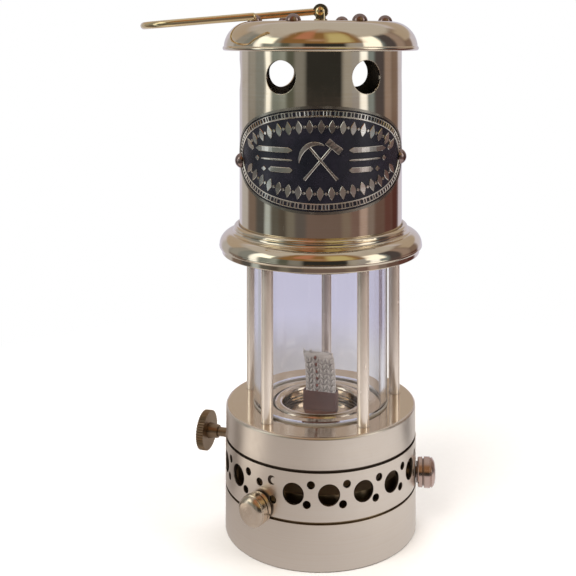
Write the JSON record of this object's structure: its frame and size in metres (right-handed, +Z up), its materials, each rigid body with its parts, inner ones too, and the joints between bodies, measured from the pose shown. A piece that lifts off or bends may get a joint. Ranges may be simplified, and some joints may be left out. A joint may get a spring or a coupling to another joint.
{
  "type": "miner's safety lamp",
  "caption": "Brass flame safety lamp with a perforated air band, caged glass, vented bonnet and swivelling hook.",
  "frame": {"origin": "middle of the underside of the base, where the lamp stands", "axes": "+Z up through the wick and the hood, -Y out through the middle of the nameplate, hook lying towards -X"},
  "size_m": [0.1158, 0.0834, 0.2077],
  "materials": {
    "satin_brass": "fine turned satin, pale",
    "polished_brass": "polished",
    "raw_brass": "as machined, dull",
    "burner_brass": "polished, turned lines",
    "tarnished_copper": "dark, heat stained",
    "aged_brass": "worn satin",
    "golden_brass": "bright drawn rod",
    "black_enamel": "satin black",
    "glass": "clear",
    "gasket": "pressed fibre",
    "wick_cotton": "braided cotton"
  },
  "bodies": {
    "lamp": {"tank_cup": "satin_brass", "tank_lid": "raw_brass", "air_band": "satin_brass", "band_bosses": "raw_brass", "top_ring": "satin_brass", "lower_gasket": "gasket", "glass": "glass", "upper_gasket": "gasket", "upper_glass_seat": "polished_brass", "pillars": "polished_brass", "lower_pillar_nuts": "raw_brass", "upper_pillar_nuts": "raw_brass", "bonnet_plate": "raw_brass", "collar": "polished_brass", "hood_tube": "polished_brass", "cap_ring": "raw_brass", "cap": "polished_brass", "cap_rivets": "polished_brass", "nameplate": "black_enamel", "nameplate_rivets": "polished_brass", "burner_plug": "raw_brass", "burner_housing": "raw_brass", "burner_cup": "burner_brass", "burner_dome": "burner_brass", "wick_tube": "tarnished_copper", "shaft_gland": "raw_brass"},
    "wick_raiser": {"wick_shaft": "aged_brass", "wick_wheels": "aged_brass", "wick_knob": "aged_brass"},
    "wick": {"wick": "wick_cotton"},
    "swivel": {"swivel": "golden_brass", "swivel_nut": "raw_brass", "hook_pin": "golden_brass"},
    "hook": {"hook": "golden_brass"},
    "screw_washer_1": {"screw_washer_1": "aged_brass"},
    "thumb_screw_1": {"thumb_screw_1": "aged_brass"},
    "screw_washer_2": {"screw_washer_2": "aged_brass"},
    "thumb_screw_2": {"thumb_screw_2": "aged_brass"},
    "screw_washer_3": {"screw_washer_3": "aged_brass"},
    "thumb_screw_3": {"thumb_screw_3": "aged_brass"}
  },
  "joints": [
    {"name": "wick_knob_turn", "type": "hinge", "parent": "lamp", "child": "wick_raiser", "pos_m": [0.00149, 0.00488, 0.02815], "axis": [-0.9563, 0.2924, 0], "range_deg": [-100, 130]},
    {"name": "wick_rise", "type": "slide", "parent": "lamp", "child": "wick", "axis": [0, 0, 1], "range_m": [-0.007, 0.009]},
    {"name": "swivel_turn", "type": "hinge", "parent": "lamp", "child": "swivel", "pos_m": [0, 0, 0.2005], "axis": [0, 0, 1], "continuous": true},
    {"name": "hook_lift", "type": "hinge", "parent": "swivel", "child": "hook", "pos_m": [0, 0, 0.2047], "axis": [0.1219, 0.9925, 0], "range_deg": [0, 185]},
    {"name": "thumb_screw_1_travel", "type": "slide", "parent": "lamp", "child": "screw_washer_1", "axis": [-0.5793, -0.8151, 0], "range_m": [0, 0.0022]},
    {"name": "thumb_screw_1_turn", "type": "hinge", "parent": "screw_washer_1", "child": "thumb_screw_1", "pos_m": [-0.02201, -0.03097, 0.0212], "axis": [-0.5793, -0.8151, 0], "range_deg": [0, 1080]},
    {"name": "thumb_screw_2_travel", "type": "slide", "parent": "lamp", "child": "screw_washer_2", "axis": [0.9956, -0.0941, 0], "range_m": [0, 0.0022]},
    {"name": "thumb_screw_2_turn", "type": "hinge", "parent": "screw_washer_2", "child": "thumb_screw_2", "pos_m": [0.03783, -0.00358, 0.0212], "axis": [0.9956, -0.0941, 0], "range_deg": [0, 1080]},
    {"name": "thumb_screw_3_travel", "type": "slide", "parent": "lamp", "child": "screw_washer_3", "axis": [-0.4163, 0.9092, 0], "range_m": [0, 0.0022]},
    {"name": "thumb_screw_3_turn", "type": "hinge", "parent": "screw_washer_3", "child": "thumb_screw_3", "pos_m": [-0.01582, 0.03455, 0.0212], "axis": [-0.4163, 0.9092, 0], "range_deg": [0, 1080]}
  ],
  "couplings": [
    {"joint": "wick_rise", "follows": "wick_knob_turn", "m_per_rad": 0.0039},
    {"joint": "thumb_screw_1_travel", "follows": "thumb_screw_1_turn", "m_per_rad": 0.00011141},
    {"joint": "thumb_screw_2_travel", "follows": "thumb_screw_2_turn", "m_per_rad": 0.00011141},
    {"joint": "thumb_screw_3_travel", "follows": "thumb_screw_3_turn", "m_per_rad": 0.00011141}
  ]
}
